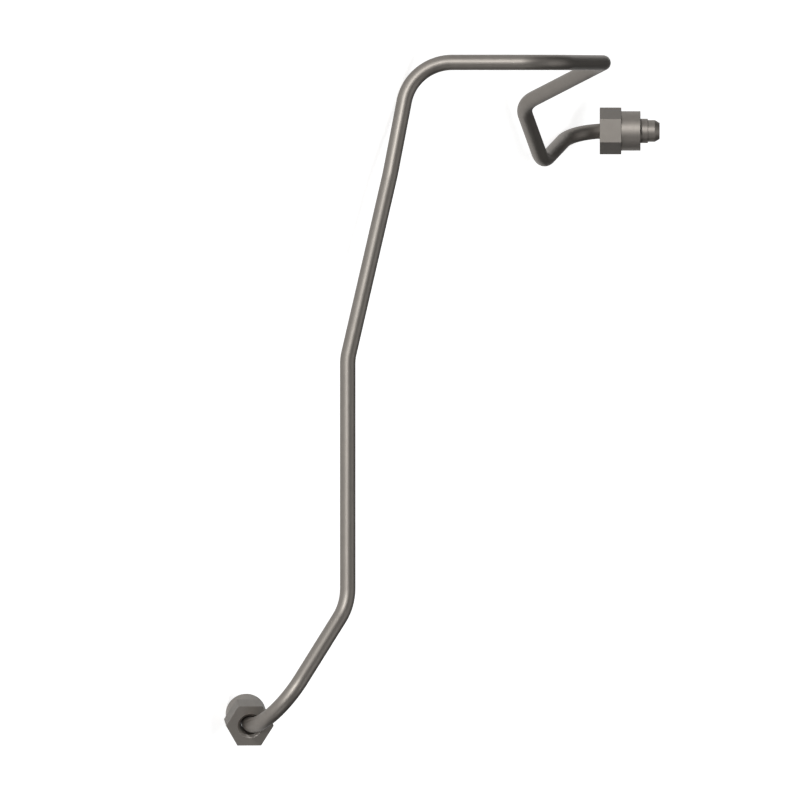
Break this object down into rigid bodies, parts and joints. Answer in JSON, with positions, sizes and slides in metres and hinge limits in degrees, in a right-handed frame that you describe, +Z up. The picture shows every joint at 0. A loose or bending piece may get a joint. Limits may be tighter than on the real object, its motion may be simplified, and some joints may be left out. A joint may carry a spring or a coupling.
{
  "type": "bent steel high pressure line",
  "caption": "Rigid steel high pressure line, bent through three dimensions, with a coned head, a thrust sleeve and a drawn-back union nut at each end.",
  "frame": {"origin": "middle of the line's footprint, on the surface it lies on", "axes": "+Z up, +X along the long run towards end B, +Y along the return leg towards end A; the line lies at rest on two of its bends and the nut of end B"},
  "size_m": [0.314, 0.241, 0.0567],
  "materials": {
    "tube_steel": "drawn, satin",
    "nut_steel": "turned and milled, satin"
  },
  "bodies": {
    "line": {"pressure_tube": "tube_steel"},
    "sleeve_a": {"thrust_sleeve_a": "nut_steel"},
    "nut_a": {"union_nut_a": "nut_steel"},
    "sleeve_b": {"thrust_sleeve_b": "nut_steel"},
    "nut_b": {"union_nut_b": "nut_steel"}
  },
  "joints": [
    {"name": "turn_a", "type": "hinge", "parent": "line", "child": "sleeve_a", "pos_m": [-0.13141, 0.11273, 0.02653], "axis": [-0.2823, 0.3291, 0.9011], "continuous": true},
    {"name": "slide_a", "type": "slide", "parent": "sleeve_a", "child": "nut_a", "axis": [-0.2823, 0.3291, 0.9011], "range_m": [-0.002, 0.0117]},
    {"name": "turn_b", "type": "hinge", "parent": "line", "child": "sleeve_b", "pos_m": [0.14341, -0.09133, 0.00711], "axis": [-0.2534, 0.8238, -0.5071], "continuous": true},
    {"name": "slide_b", "type": "slide", "parent": "sleeve_b", "child": "nut_b", "axis": [-0.2534, 0.8238, -0.5071], "range_m": [-0.0005, 0.0117]}
  ]
}
